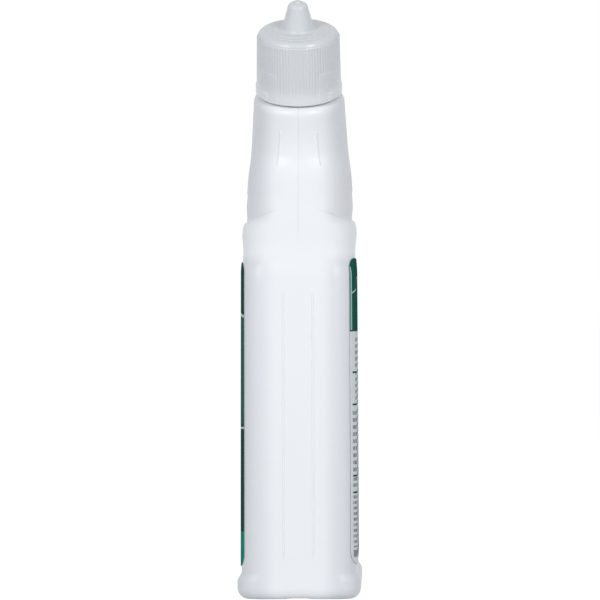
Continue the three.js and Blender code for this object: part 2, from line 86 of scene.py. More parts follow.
rib_proud = 0.4
rib_width = 1.35
body_rib_y = 6.9
body_rib_ends = (21.5, 143.7)
neck_rib_count = 8
neck_rib_width = 1.15
near_rib_span = (0.35, 1.15)
side_rib_span = (0.3, 1.6)
far_rib_span = (0.3, 1.75)
fold_depth = 1.0
fold_above = 8
fold_below = 2
fold_from_y = 6
fold_full_y = 20
roll_proud = 0.3
roll_below = 7
roll_half = 5
parting_width = 0.6
parting_depth = 0.05
parting_from_z = 174
parting_full_z = 186
finish_radius = 12.65
bore_radius = 11
collar_radius = 15.2
collar_top = 2.2
lip_z = 25.4
lip_round = 0.6
thread_pitch = 4
thread_turns = 1.5
thread_start = 16
thread_height = 1.2
thread_base = 1.7
thread_crest = 0.9
lock_reach = 16.6
lock_span = (0.5, 9.5)
lock_half_angle = 7
lock_angle = 19


def smooth(share):
    """A share from 0 to 1 that starts and ends softly."""
    share = np.clip(share, 0, 1)
    return share * share * (3 - 2 * share)


def between(start, end, share):
    """The value that lies so great a share of the way from start to end."""
    return start + (end - start) * share


def dome(reach):
    """A rib's height, 1 on its middle line and 0 from reach 1 outwards."""
    return np.clip(1 - reach ** 2, 0, 1) ** 0.7


def section(half_span, half_depth, corner, angle):
    """Reach of a rectangle with round corners along rays from its middle."""
    c = np.abs(np.cos(angle))
    s = np.abs(np.sin(angle))
    r = min(corner, half_span - 0.001, half_depth - 0.001)
    x = half_span - r
    y = half_depth - r
    p = x * c + y * s
    rounded = p + np.sqrt(np.maximum(p * p - (x * x + y * y - r * r), 0))
    on_side = half_span * s <= y * c
    on_panel = half_depth * c <= x * s
    flat_side = half_span / np.maximum(c, 1e-9)
    flat_panel = half_depth / np.maximum(s, 1e-9)
    return np.where(on_side, flat_side, np.where(on_panel, flat_panel, rounded))


def level_ring(level, angle, inset=0):
    """Points of one level of the bottle, where level is near and far end, half depth, corner and sag."""
    (near_x, near_z), (far_x, far_z), half_depth, corner, sag = level
    half_span = math.hypot(near_x - far_x, near_z - far_z) / 2
    along = ((near_x - far_x) / 2 / half_span, (near_z - far_z) / 2 / half_span)
    reach = section(half_span - inset, half_depth - inset, max(corner - inset, 1), angle)
    y = reach * np.sin(angle)
    x = (near_x + far_x) / 2 + along[0] * reach * np.cos(angle)
    z = (near_z + far_z) / 2 + along[1] * reach * np.cos(angle) - sag * (y / half_depth) ** 2
    return np.stack([x, y, z], axis=1)


def cove(z):
    """Depth of the hollow that runs round the bottle above the labels."""
    return cove_depth * smooth(1 - abs(z - cove_z) / cove_half)


def body_level(z, at_z=None):
    """Level of the upright body. at_z sets its height apart from where its depth is taken."""
    foot = foot_proud * (1 - smooth((z - foot_bead) / (foot_top - foot_bead)))
    depth = between(panel_depth_low, panel_depth_high, z / panel_top) + foot - cove(z)
    height = z if at_z is None else at_z
    return (side_x, height), (-side_x, height), depth, corner_radius, 0


def outline(start, start_lean, end, end_lean, t):
    """A smooth span of the front outline between two points that lean by so many degrees."""
    length = math.hypot(end[0] - start[0], end[1] - start[1])
    out = (-length * math.sin(math.radians(start_lean)), -length * math.cos(math.radians(start_lean)))
    into = (-length * math.sin(math.radians(end_lean)), -length * math.cos(math.radians(end_lean)))
    h = (2 * t ** 3 - 3 * t ** 2 + 1, t ** 3 - 2 * t ** 2 + t, 3 * t ** 2 - 2 * t ** 3, t ** 3 - t ** 2)
    return tuple(h[0] * start[k] + h[1] * out[k] + h[2] * end[k] + h[3] * into[k] for k in (0, 1))


def in_neck(points):
    """Points measured from the middle of the cap's rim, along the leaning neck, moved to the bottle."""
    u, v, w = points[:, 0], points[:, 1], points[:, 2]
    x = rim_x + u * math.cos(neck_lean) + w * math.sin(neck_lean)
    z = rim_z - u * math.sin(neck_lean) + w * math.cos(neck_lean)
    return np.stack([x, v, z], axis=1)


def neck_ring(radius, height, angle):
    """A ring about the neck's axis, at a height above the cap's rim."""
    around = np.stack([radius * np.cos(angle), radius * np.sin(angle), height + 0 * angle], axis=1)
    return in_neck(around)


def neck_level(place):
    """The neck and shoulder as one run: 0 below the cap, 1 the waist, 2 the crease, 3 the panel."""
    lean = math.degrees(neck_lean)
    if place <= 1:
        ends = in_neck(np.array([[neck_radius, 0, -neck_drop], [-neck_radius, 0, -neck_drop]]))
        near = outline((ends[0, 0], ends[0, 2]), lean, waist_near, 0, place)
        far = outline((ends[1, 0], ends[1, 2]), lean, waist_far, waist_far_lean, place)
        corner = between(neck_radius, waist_corner, place)
        return near, far, between(neck_radius, waist_depth, place), corner, 0
    if place <= 2:
        t = place - 1
        near = outline(waist_near, 0, crease_near, crease_near_lean, t)
        far = outline(waist_far, waist_far_lean, crease_far, crease_far_lean, t)
        corner = between(waist_corner, crease_corner, t)
        return near, far, between(waist_depth, crease_depth, t), corner, crease_sag * smooth(t)
    t = place - 2
    near = outline(crease_near, crease_near_lean, (side_x, panel_top), 0, t)
    far = outline(crease_far, crease_far_lean, (-side_x, panel_top), 0, t)
    sag = crease_sag * (1 - smooth(t))
    z = (near[1] + far[1]) / 2 - sag
    fall = min((crease_near[1] + crease_far[1]) / 2 - crease_sag - z, bead_height) / bead_height
    bead = crease_depth + bead_step * math.sqrt(1 - (1 - fall) ** 2)
    depth = between(bead, panel_depth_high, smooth(t)) - cove(z)
    return near, far, depth, between(crease_corner, corner_radius, smooth(t)), sag


def spread(points, offsets):
    """Points moved by each offset to both sides."""
    return [point + side * offset for point in points for offset in offsets for side in (1, -1)]


def bottle_angles():
    """Rays of the bottle's columns: closer round the corners and across each rib, seam and lug."""
    neck_ribs = [(i + 0.5) * 360 / neck_rib_count for i in range(neck_rib_count)]
    rib_y = [body_rib_y + step * rib_width / 2 for step in (-1.25, -1, -0.8, -0.55, -0.28, 0)]
    rib_y += [2 * body_rib_y - y for y in rib_y[:-1]]
    quarter_rays = [math.degrees(math.atan2(y, side_x)) for y in rib_y]
    quarter_rays += list(np.arange(17, 34.5, 0.9))
    angles = list(np.arange(0, 360, 3.6))
    for middle in (0, 180):
        angles += [middle + side * ray for ray in quarter_rays for side in (1, -1)]
    angles += spread(neck_ribs, (0, 0.5, 1, 1.5, 2.1))
    angles += spread((0, 180), (0, 0.15, 0.32, 0.55, 1))
    for middle in (lock_angle, lock_angle + 180):
        angles += spread([middle], (lock_half_angle - 0.3, lock_half_angle + 0.3))
    angles = np.sort(np.mod(angles, 360))
    kept = [angles[0]]
    for angle in angles[1:]:
        if angle - kept[-1] > 0.12:
            kept.append(angle)
    return np.radians(kept)


def spaced(stops):
    """Values from stop to stop, where each stop after the first gives how many steps lead to it."""
    values = [stops[0]]
    for end, steps in stops[1:]:
        values += list(np.linspace(values[-1], end, steps + 1)[1:])
    return values


def neck_places():
    """Places of the neck's rings from the panel up: closer at the crease and at the ends of the ribs."""
    places = spaced([3, (2.4, 13), (2.1, 14), (2.0, 9), (1.9, 5), (1.0, 26), (0.0, 16)])
    for end in {*near_rib_span, *side_rib_span, *far_rib_span}:
        places += [end + step for step in (-0.03, -0.015, 0.015, 0.03)]
    return sorted({round(place, 4) for place in places}, reverse=True)


def bottle_outside(angle):
    """Rings from the middle of the base up to the rim of the neck, and the place of each on the neck."""
    rings = []
    for share in spaced([0, (1, 8)]):
        inset = base_radius + rest_width + push_up_slope * (1 - share)
        height = push_up * (1 - smooth(share))
        rings.append(level_ring(body_level(base_radius, height), angle, inset))
    for share in spaced([0, (1, 3)])[1:]:
        inset = base_radius + rest_width * (1 - share)
        rings.append(level_ring(body_level(base_radius, 0), angle, inset))
    for turn in np.radians(spaced([0, (90, 9)])[1:]):
        height = base_radius * (1 - math.cos(turn))
        inset = base_radius * (1 - math.sin(turn))
        rings.append(level_ring(body_level(base_radius, height), angle, inset))
    for ring in rings:
        beside = 1 - np.abs(ring[:, 1]) / notch_half
        near_end = smooth((np.abs(ring[:, 0]) - (side_x - notch_reach)) / notch_fade)
        near_floor = smooth(1 - ring[:, 2] / notch_height)
        ring[:, 2] += seam_notch * smooth(beside * 1.6) * near_end * near_floor
    heights = spaced([base_radius, (foot_bead, 3), (foot_top, 9), (body_rib_ends[0], 3)])
    heights += [body_rib_ends[0] + rib_width * step for step in (0.15, 0.3, 0.5, 0.8)]
    heights += spaced([heights[-1], (body_rib_ends[1] - rib_width, 12)])[1:]
    heights += [body_rib_ends[1] - rib_width * step for step in (0.5, 0.3, 0.15, 0)]
    heights += [body_rib_ends[1] + 1.5]
    places = [3.0] * (len(rings) + len(heights) - 1)
    rings += [level_ring(body_level(z), angle) for z in heights[1:]]
    for place in neck_places():
        rings.append(level_ring(neck_level(place), angle))
        places.append(place)
    for turn in np.radians(spaced([0, (90, 8)])[1:]):
        radius = neck_radius - neck_edge * (1 - math.cos(turn))
        height = -neck_drop + (neck_drop - shoulder_gap) * math.sin(turn)
        rings.append(neck_ring(radius, height, angle))
        places.append(0.0)
    return np.array(rings), np.array(places)


def normals_of(grid):
    """Outward unit normals of a grid of rings."""
    along = np.gradient(grid, axis=0)
    around = np.roll(grid, -1, axis=1) - np.roll(grid, 1, axis=1)
    normal = np.cross(around, along)
    return normal / np.maximum(np.linalg.norm(normal, axis=2, keepdims=True), 1e-12)


def bottle_relief(grid, places, angle):
    """Height of the ribs, the fold at the crease and the parting line above the plain surface."""
    x, y, z = grid[:, :, 0], grid[:, :, 1], grid[:, :, 2]
    half = rib_width / 2
    low, high = body_rib_ends[0] + half, body_rib_ends[1] - half
    past_end = np.maximum(np.maximum(low - z, z - high), 0)
    lateral = np.abs(np.abs(y) - body_rib_y)
    on_side = (np.abs(x) > side_x - 3) & (z < panel_top)
    relief = rib_proud * dome(np.hypot(lateral, past_end) / half) * on_side
    half = neck_rib_width / 2
    for i in range(neck_rib_count):
        ray = 2 * math.pi * (i + 0.5) / neck_rib_count
        facing = math.cos(ray)
        span = near_rib_span if facing > 0.7 else far_rib_span if facing < -0.7 else side_rib_span
        line = grid[:, np.argmin(np.abs(angle - ray))]
        run = np.concatenate([[0], np.cumsum(np.linalg.norm(np.diff(line, axis=0), axis=1))])
        ends = [np.interp(-place, -places, run) for place in span]
        past_end = np.maximum(np.maximum(ends[1] + half - run, run - ends[0] + half), 0)
        lateral = np.linalg.norm(grid - line[:, None], axis=2)
        relief = np.maximum(relief, rib_proud * dome(np.hypot(lateral, past_end[:, None]) / half))
    crease_row = np.argmin(np.abs(places - 2))
    climb = np.cumsum(np.linalg.norm(np.diff(grid, axis=0, prepend=grid[:1]), axis=2), axis=0)
    below = climb[crease_row] - climb
    fold = smooth(1 - np.where(below < 0, -below / fold_above, below / fold_below))
    roll = smooth(1 - np.abs(below - roll_below) / roll_half)
    beside = smooth((np.abs(y) - fold_from_y) / (fold_full_y - fold_from_y)) * (z > panel_top)
    relief += (roll_proud * roll - fold_depth * fold) * beside
    on_neck = smooth((z - parting_from_z) / (parting_full_z - parting_from_z)) * (places > 0)[:, None]
    return relief - parting_depth * dome(np.abs(y) / (parting_width / 2)) * on_neck


def thread_lift(angle, height, start, from_turn, turns):
    """Share of a thread ridge's height at one level, for every ray. It runs out at both ends."""
    lift = np.zeros_like(angle)
    for lap in range(-1, 3):
        turn = angle / (2 * math.pi) + lap
        middle = start + thread_pitch * turn
        flank = (thread_base / 2 - np.abs(height - middle)) / ((thread_base - thread_crest) / 2)
        run_out = smooth(np.minimum(turn - from_turn, from_turn + turns - turn) * 10)
        lift = np.maximum(lift, smooth(flank) * run_out)
    return lift


def lug_share(angle, middle, half_angle):
    """1 over two opposite lugs and 0 beside them."""
    away = np.abs(np.mod(np.degrees(angle) - middle + 90, 180) - 90)
    return smooth((half_angle + 0.4 - away) / 0.8)


def finish_rings(angle):
    """The neck finish from the collar over the lip and down to the bottom of the bore."""
    profile = [(neck_radius - neck_edge - 0.5, -shoulder_gap), (collar_radius + 0.6, -shoulder_gap)]
    profile += [(collar_radius, -shoulder_gap + 0.5), (collar_radius, collar_top - 0.5)]
    profile += [(collar_radius - 0.15, collar_top - 0.15), (collar_radius - 0.5, collar_top)]
    profile += [(finish_radius + 0.4, collar_top), (finish_radius, collar_top + 0.4)]
    profile += [(finish_radius, z) for z in (5, 9, 9.3, 9.7, 12, 14.6)]
    profile += [(finish_radius, z) for z in np.arange(14.9, 23.4, 0.28)]
    for turn in np.radians((0, 30, 60, 90)):
        radius = finish_radius - lip_round * (1 - math.cos(turn))
        profile.append((radius, lip_z - lip_round * (1 - math.sin(turn))))
    profile += [(bore_radius + 0.3, lip_z), (bore_radius, lip_z - 0.3)]
    profile.append((bore_radius, -shoulder_gap - wall))
    rings = []
    for i, (radius, z) in enumerate(profile):
        reach = np.full_like(angle, radius)
        if radius > bore_radius + lip_round and i > 1:
            reach += thread_height * thread_lift(angle, z, thread_start, 0, thread_turns)
            if lock_span[0] <= z <= lock_span[1]:
                lug = lug_share(angle, lock_angle, lock_half_angle)
                reach = np.maximum(reach, between(reach, lock_reach, lug))
        rings.append(neck_ring(reach, z, angle))
    return rings


def bottle_inside(angle):
    """Rings of the cavity, from the neck down to the middle of the floor."""
    rings = [neck_ring(neck_radius - neck_edge, -shoulder_gap - 1.6 * wall, angle)]
    rings.append(neck_ring(neck_radius - wall, -neck_drop, angle))
    for place in spaced([0.5, (2.0, 12), (2.14, 3), (3.0, 8)]):
        rings.append(level_ring(neck_level(place), angle, wall))
    for z in (90, foot_top, foot_bead):
        rings.append(level_ring(body_level(z), angle, wall))
    floor_level = wall + seam_notch
    for turn in np.radians((20, 45, 70)):
        height = floor_level + (foot_bead - floor_level) * (1 - math.sin(turn))
        inset = between(wall, base_radius, 1 - math.cos(turn))
        rings.append(level_ring(body_level(base_radius, height), angle, inset))
    rings.append(level_ring(body_level(base_radius, floor_level), angle, base_radius + 1))
    rings.append(level_ring(body_level(base_radius, floor_level), angle, base_radius + rest_width))
    top_inset = base_radius + rest_width + push_up_slope
    rings.append(level_ring(body_level(base_radius, push_up + wall), angle, top_inset))
    return rings


def skin(name, rings, start=None, end=None):
    """A closed mesh over rings of equal count, with a fan to each end point, or joined end to end."""
    rings = np.array(rings)
    rows, count = rings.shape[:2]
    points = rings.reshape(-1, 3)
    joined = start is None
    face_rows = rows if joined else rows - 1
    row, column = np.meshgrid(np.arange(face_rows), np.arange(count), indexing="ij")
    here = (row * count + column).ravel()
    right = (row * count + (column + 1) % count).ravel()
    above = ((row + 1) % rows * count + column).ravel()
    above_right = ((row + 1) % rows * count + (column + 1) % count).ravel()
    faces = np.stack([here, right, above_right, above], axis=1).tolist()
    if not joined:
        points = np.vstack([points, start, end])
        first, last = len(points) - 2, len(points) - 1
        top = (rows - 1) * count
        faces += [[first, (i + 1) % count, i] for i in range(count)]
        faces += [[last, top + i, top + (i + 1) % count] for i in range(count)]
    mesh = bpy.data.meshes.new(name)
    mesh.from_pydata((points * MM).tolist(), [], faces)
    mesh.shade_smooth()
    mesh.update()
    piece = bpy.data.objects.new(name, mesh)
    bpy.context.scene.collection.objects.link(piece)
    return piece


def plastic(name, colour, roughness):
    """A moulded plastic, with its Principled shader and node tree."""
    material = bpy.data.materials.new(name)
    material.use_nodes = True
    shader = material.node_tree.nodes["Principled BSDF"]
    shader.inputs["Base Color"].default_value = (*colour, 1)
    shader.inputs["Roughness"].default_value = roughness
    return material, material.node_tree, shader


def surface_noise(tree, scale, detail):
    """A noise that is fixed to the piece, with its scale in waves for each metre."""
    place = tree.nodes.new("ShaderNodeTexCoord")
    noise = tree.nodes.new("ShaderNodeTexNoise")
    noise.inputs["Scale"].default_value = scale
    noise.inputs["Detail"].default_value = detail
    tree.links.new(place.outputs["Object"], noise.inputs["Vector"])
    return noise.outputs["Fac"]


def varied(tree, value, low, high, socket):
    """Spreads a noise from 0.3 to 0.7 over low to high in a socket."""
    spread_node = tree.nodes.new("ShaderNodeMapRange")
    spread_node.inputs["From Min"].default_value = 0.3
    spread_node.inputs["From Max"].default_value = 0.7
    spread_node.inputs["To Min"].default_value = low
    spread_node.inputs["To Max"].default_value = high
    tree.links.new(value, spread_node.inputs["Value"])
    tree.links.new(spread_node.outputs["Result"], socket)


def computed(tree, operation, *values):
    """A socket with the result of one sum on numbers or sockets."""
    node = tree.nodes.new("ShaderNodeMath")
    node.operation = operation
    for socket, value in zip(node.inputs, values):
        if isinstance(value, (int, float)):
            socket.default_value = value
        else:
            tree.links.new(value, socket)
    return node.outputs[0]


def coloured(tree, socket, colour):
    """Gives a socket a plain colour, or links another socket to it."""
    if isinstance(colour, tuple):
        socket.default_value = (*colour, 1)
    else:
        tree.links.new(colour, socket)


def blended(tree, value, low, high, low_colour, high_colour):
    """A colour that goes softly from one to another as a value goes from low to high."""
    run = tree.nodes.new("ShaderNodeMapRange")
    run.interpolation_type = "SMOOTHSTEP"
    run.inputs["From Min"].default_value = low
    run.inputs["From Max"].default_value = high
    tree.links.new(value, run.inputs["Value"])
    mix = tree.nodes.new("ShaderNodeMix")
    mix.data_type = "RGBA"
    tree.links.new(run.outputs["Result"], mix.inputs["Factor"])
    coloured(tree, mix.inputs["A"], low_colour)
    coloured(tree, mix.inputs["B"], high_colour)
    return mix.outputs["Result"]


def distance_along(tree, direction):
    """How far a point of the surface lies along a direction, in metres from the origin."""
    place = tree.nodes.new("ShaderNodeTexCoord")
    product = tree.nodes.new("ShaderNodeVectorMath")
    product.operation = "DOT_PRODUCT"
    product.inputs[1].default_value = direction
    tree.links.new(place.outputs["Object"], product.inputs[0])
    return product.outputs["Value"]


def bumped(tree, shader, value, depth):
    """A fine grain on a shader's surface, so many metres deep."""
    bump = tree.nodes.new("ShaderNodeBump")
    bump.inputs["Strength"].default_value = 1
    bump.inputs["Distance"].default_value = depth
    tree.links.new(value, bump.inputs["Height"])
    tree.links.new(bump.outputs["Normal"], shader.inputs["Normal"])


bottle_rays = bottle_angles()
outside, outside_places = bottle_outside(bottle_rays)
lift = bottle_relief(outside, outside_places, bottle_rays)
outside += normals_of(outside) * lift[:, :, None]
bottle_rings = [*outside, *finish_rings(bottle_rays), *bottle_inside(bottle_rays)]
bottle = skin("bottle_shell", bottle_rings, (0, 0, push_up), (0, 0, push_up + wall))

# Painted shade: the colour turns greyer from the middle of each narrow side towards the broad sides, as
# shade on the upright corners, but not round the shoulder.
bottle_white = (0.80, 0.825, 0.865)
corner_shade_white = (0.675, 0.70, 0.745)
parting_shade_grey = (0.74, 0.765, 0.805)
corner_shade_span = (10 * MM, 19.5 * MM)
shoulder_z = 168 * MM
shoulder_span = (6 * MM, 12 * MM)
parting_shade_span = (0.1 * MM, 0.4 * MM)
parting_shade_start = (164 * MM, 176 * MM)
bottle_plastic, tree, shader = plastic("bottle plastic", bottle_white, roughness=0.42)
up = distance_along(tree, (0, 0, 1))
from_parting = computed(tree, "ABSOLUTE", distance_along(tree, (0, 1, 0)))
from_shoulder = computed(tree, "ABSOLUTE", computed(tree, "SUBTRACT", up, shoulder_z))
# Painted shade on the upright corners, faded out round the shoulder.
with_corner_shade = blended(tree, from_parting, *corner_shade_span, bottle_white, corner_shade_white)
painted_shade_colour = blended(tree, from_shoulder, *shoulder_span, bottle_white, with_corner_shade)
# Painted shade: a thin grey line along the parting line, up the neck and the top of the shoulder, as the
# shade of its shallow groove.
with_parting_shade = blended(tree, from_parting, *parting_shade_span, parting_shade_grey, painted_shade_colour)
colour = blended(tree, up, *parting_shade_start, painted_shade_colour, with_parting_shade)
tree.links.new(colour, shader.inputs["Base Color"])
cloud = surface_noise(tree, scale=60, detail=3)
varied(tree, cloud, low=0.38, high=0.46, socket=shader.inputs["Roughness"])
bumped(tree, shader, surface_noise(tree, scale=1400, detail=2), depth=0.012 * MM)
bottle.data.materials.append(bottle_plastic)
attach(bottle, "bottle")
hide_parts("bottle")

# Nozzle: a moulded polyethylene spout, pressed into the bore. It narrows the pour to a small hole, and
# its flange lies on the bottle's lip.
seat_gap = 0.3
flange_thick = 1.2
flange_radius = 12.4
plug_length = 9
plug_wall = 1.2
spout_foot = 6.8
spout_tip = 2.9
spout_wall = 1.2
orifice = 1.3
cap_height = 30.6
cone_high = 41.6
cone_ceiling = 43.1
pin_length = 2.4
nozzle_top = cone_ceiling - 0.6
flange_z = lip_z + seat_gap


def turned(profile, rays):
    """Rings of a shape turned about the neck's axis, from its radii and heights."""
    return [neck_ring(np.full_like(rays, radius), z, rays) for radius, z in profile]


def eased(profile, edge):
    """The same closed profile with each corner cut back twice, so that it looks round."""
    eased_profile = []
    for i, point in enumerate(profile):
        corner = np.array(point, float)
        for other in (profile[i - 1], profile[(i + 1) % len(profile)]):
            side = np.array(other, float) - corner
            length = np.linalg.norm(side)
            eased_profile.append(tuple(corner + side * min(edge / length, 0.3)))
            if other is profile[i - 1]:
                eased_profile.append(tuple(corner + side * min(edge / length, 0.3) * 0.3))
    return eased_profile


plug_radius = bore_radius - seat_gap
throat = cone_ceiling - pin_length - 0.4
nozzle_profile = [
    (plug_radius - 0.5, flange_z - plug_length), (plug_radius, flange_z - plug_length + 1.2),
    (plug_radius, flange_z), (flange_radius, flange_z), (flange_radius, flange_z + flange_thick),
    (spout_foot, flange_z + flange_thick), (spout_foot - 1.2, cap_height), (spout_tip, cone_high - 0.4),
    (spout_tip - 0.6, nozzle_top), (orifice, nozzle_top), (orifice, throat),
    (spout_tip - spout_wall + 0.5, throat - 2.5), (spout_foot - 1.2 - spout_wall, cap_height - 1),
    (spout_foot - spout_wall, flange_z - 0.6), (plug_radius - plug_wall, flange_z - 0.6),
    (plug_radius - plug_wall, flange_z - plug_length),
]
even_rays = np.linspace(0, 2 * math.pi, 144, endpoint=False)
nozzle = skin("dosing_nozzle", turned(eased(nozzle_profile, 0.2), even_rays))
spout_white = (0.80, 0.82, 0.83)
nozzle_plastic, tree, shader = plastic("nozzle plastic", spout_white, roughness=0.38)
cloud = surface_noise(tree, scale=90, detail=3)
varied(tree, cloud, low=0.34, high=0.44, socket=shader.inputs["Roughness"])
nozzle.data.materials.append(nozzle_plastic)
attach(nozzle, "bottle")
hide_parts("nozzle")

# Sealing ring: a die-cut washer of soft polyethylene foam, loose in the top of the cap, where the flange
# presses on it.
liner_thick = 1.5
liner_bore = 8.2
sleeve_radius = finish_radius + thread_height + 0.4
liner_z = flange_z + flange_thick + seat_gap
liner_outer = sleeve_radius - seat_gap
liner_profile = [(liner_outer, liner_z), (liner_outer, liner_z + liner_thick)]
liner_profile += [(liner_bore, liner_z + liner_thick), (liner_bore, liner_z)]
liner = skin("foam_ring", turned(eased(liner_profile, 0.15), even_rays))
foam_white = (0.84, 0.84, 0.81)
ring_foam, tree, shader = plastic("ring foam", foam_white, roughness=0.85)
bumped(tree, shader, surface_noise(tree, scale=2200, detail=3), depth=0.05 * MM)
liner.data.materials.append(ring_foam)
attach(liner, "ring")
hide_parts("sealing_ring")

# Cap: injection-moulded in milky natural polypropylene, with a paler band painted near its rim as light
# through the milky wall. It screws onto the neck by an inner sleeve. Fine ribs run round the skirt, but
# for two plain pads, which are squeezed so that the cap's lugs pass those of the bottle.
cap_rim_radius = 19.7
cap_top_radius = 19.15
cap_round = 3
rim_drop = 0.5
band_proud = 0.25
cap_wall = 1.4
cap_plate = 1.6
cap_rib_count = 84
cap_rib_proud = 0.35
cap_groove_proud = 0.12
cap_rib_flank = 0.35
cap_rib_span = (5.2, 28.2)
pad_half_angle = 61
pad_high = 14.6
pad_corner = 3
pad_proud = 0.08
pad_edge = 0.6
ledge_half_angle = 46
ledge_span = (0.3, 4.3)
ledge_proud = 0.5
ledge_side_edge = 2
ledge_top_edge = 0.5
ring_outer = 14.9
ring_inner = 11.9
ring_step = 0.3
cone_foot = 7.4
cone_fillet = 1.4
cone_top_radius = 4.9
cone_round = 2.8
cone_wall = 1.3
pip_radius = 1.6
pip_height = 0.7
sleeve_wall = 1.5
sleeve_low = 14
cap_lug_reach = 17.0
cap_lug_span = (2.5, 11)
cap_lug_half_angle = 8
cap_thread_turns = 1.25
plate_under = cap_height - cap_plate
rib_shares = (0, 0.14, 0.3, 0.5, 0.7, 0.86)
rib_steps = np.add.outer(np.arange(cap_rib_count), rib_shares).ravel()
cap_rays = 2 * math.pi * rib_steps / cap_rib_count


def skirt_radius(z):
    """Plain radius of the skirt, which narrows towards the top."""
    return between(cap_rim_radius, cap_top_radius, z / cap_height)


def skirt_ring(z, rays):
    """The skirt's outside at one height, with its ribs, pads and ledges."""
    groove = np.abs(np.mod(rays * cap_rib_count / (2 * math.pi) + 0.5, 1) - 0.5)
    in_ribs = smooth((z - cap_rib_span[0]) / 0.5) * smooth((cap_rib_span[1] - z) / 0.6)
    ribs = between(cap_groove_proud, cap_rib_proud, smooth(groove / cap_rib_flank))
    lift = between(band_proud * (z < cap_rib_span[1] / 2), ribs, in_ribs)
    from_pad = np.abs(np.abs(np.degrees(np.arctan2(np.sin(rays), np.cos(rays)))) - 90)
    inward = np.radians(pad_half_angle - from_pad) * cap_rim_radius
    corner_x = np.maximum(pad_corner - inward, 0)
    corner_z = max(z - (pad_high - pad_corner), 0)
    pad = smooth((pad_corner - np.hypot(corner_x, corner_z)) / pad_edge)
    lift = between(lift, cap_rib_proud + pad_proud, pad)
    ledge = smooth(np.radians(ledge_half_angle - from_pad) * cap_rim_radius / ledge_side_edge)
    ledge *= smooth((z - ledge_span[0] + 0.3) / 0.3) * smooth((ledge_span[1] - z) / ledge_top_edge)
    return between(lift, cap_rib_proud + ledge_proud, ledge) + skirt_radius(z)


def cap_outside(rays):
    """Rings from the rim, which reaches rim_drop below the solid's, over the top and up the cone."""
    rings = [neck_ring(np.full_like(rays, cap_rim_radius - 0.25), -rim_drop, rays)]
    heights = spaced([0.25 - rim_drop, (0.6, 3), (3.6, 2), (4.6, 6), (5.2, 2), (5.8, 4), (11.2, 3)])
    heights += spaced([heights[-1], (13.6, 4), (15, 8), (27.4, 6), (28.3, 5)])[1:]
    for z in heights:
        rings.append(neck_ring(skirt_ring(z, rays), z, rays))
    middle = cap_height - cap_round
    for turn in np.radians(spaced([0, (90, 8)])[1:]):
        radius = cap_top_radius - cap_round + cap_round * math.cos(turn)
        rings.append(neck_ring(np.full_like(rays, radius), middle + cap_round * math.sin(turn), rays))
    steps = [(ring_outer + 0.15, 0), (ring_outer, 0.06), (ring_outer - 0.06, ring_step - 0.04)]
    steps += [(ring_outer - 0.2, ring_step), (ring_inner + 0.15, ring_step)]
    steps += [(ring_inner, ring_step + 0.06), (ring_inner - 0.06, 2 * ring_step - 0.04)]
    steps += [(ring_inner - 0.2, 2 * ring_step)]
    for turn in np.radians(spaced([0, (90, 5)])):
        reach = cone_foot + cone_fillet * (1 - math.sin(turn))
        steps.append((reach, 2 * ring_step + cone_fillet * (1 - math.cos(turn))))
    for turn in np.radians(spaced([0, (72, 8)])):
        reach = cone_top_radius - cone_round + cone_round * math.cos(turn)
        steps.append((reach, cone_high + cone_round * math.sin(turn) - cap_height))
    crown = cone_high + cone_round - cap_height
    steps += [(pip_radius + 0.25, crown), (pip_radius, crown + 0.15)]
    steps += [(pip_radius, crown + pip_height - 0.2), (pip_radius - 0.2, crown + pip_height)]
    rings += turned([(radius, cap_height + z) for radius, z in steps], rays)
    return rings


def cap_inside(rays):
    """Rings of the cap's inside, from the sealing pin down the cone and sleeve to the rim."""
    pin = orifice - seat_gap
    tip = cone_ceiling - pin_length
    profile = [(pin - 0.2, tip), (pin, tip + 0.2), (pin, cone_ceiling - 0.2), (pin + 0.2, cone_ceiling)]
    cone_inner = cone_top_radius - cone_wall
    profile += [(cone_inner - 0.9, cone_ceiling), (cone_inner, cone_high)]
    profile += [(cone_foot - cone_wall, cap_height), (cone_foot - 0.2, plate_under + 0.1)]
    profile += [(cone_foot + 0.2, plate_under), (sleeve_radius - 0.3, plate_under)]
    profile += [(sleeve_radius, plate_under - 0.3), (sleeve_radius, 24)]
    rings = turned(profile, rays)
    crest = finish_radius + 0.4
    start = thread_start + thread_pitch / 2
    for z in np.arange(23.6, 15.6, -0.32):
        share = thread_lift(rays, z, start, -0.2, cap_thread_turns)
        rings.append(neck_ring(between(sleeve_radius, crest, share), z, rays))
    outer = sleeve_radius + sleeve_wall
    profile = [(sleeve_radius, sleeve_low + 0.3), (sleeve_radius + 0.3, sleeve_low)]
    profile += [(outer - 0.3, sleeve_low), (outer, sleeve_low + 0.3)]
    profile += [(outer, plate_under - 0.3), (outer + 0.3, plate_under)]
    inner_low = cap_rim_radius - cap_wall
    inner_top = skirt_radius(plate_under) - cap_wall
    profile += [(inner_top - 1, plate_under), (inner_top - 0.2, plate_under - 1.2)]
    rings += turned(profile, rays)
    lug_low, lug_high = cap_lug_span
    heights = [24, 18] + [lug_high + step for step in (0.6, 0.1, -0.1, -0.4)]
    heights += [7] + [lug_low + step for step in (0.5, 0.1, -0.1, -0.6)] + [0.8]
    for z in heights:
        plain = between(inner_low, inner_top, z / plate_under)
        lug = lug_share(rays, 0, cap_lug_half_angle)
        lug *= smooth((z - lug_low + 0.1) / 0.3) * smooth((lug_high + 0.1 - z) / 0.3)
        rings.append(neck_ring(between(plain, cap_lug_reach, lug), z, rays))
    rings += turned([(inner_low, 0.2 - rim_drop), (inner_low + 0.2, -rim_drop)], rays)
    return rings


def on_axis(height):
    """A point on the neck's axis."""
    return in_neck(np.array([[0.0, 0.0, height]]))[0]


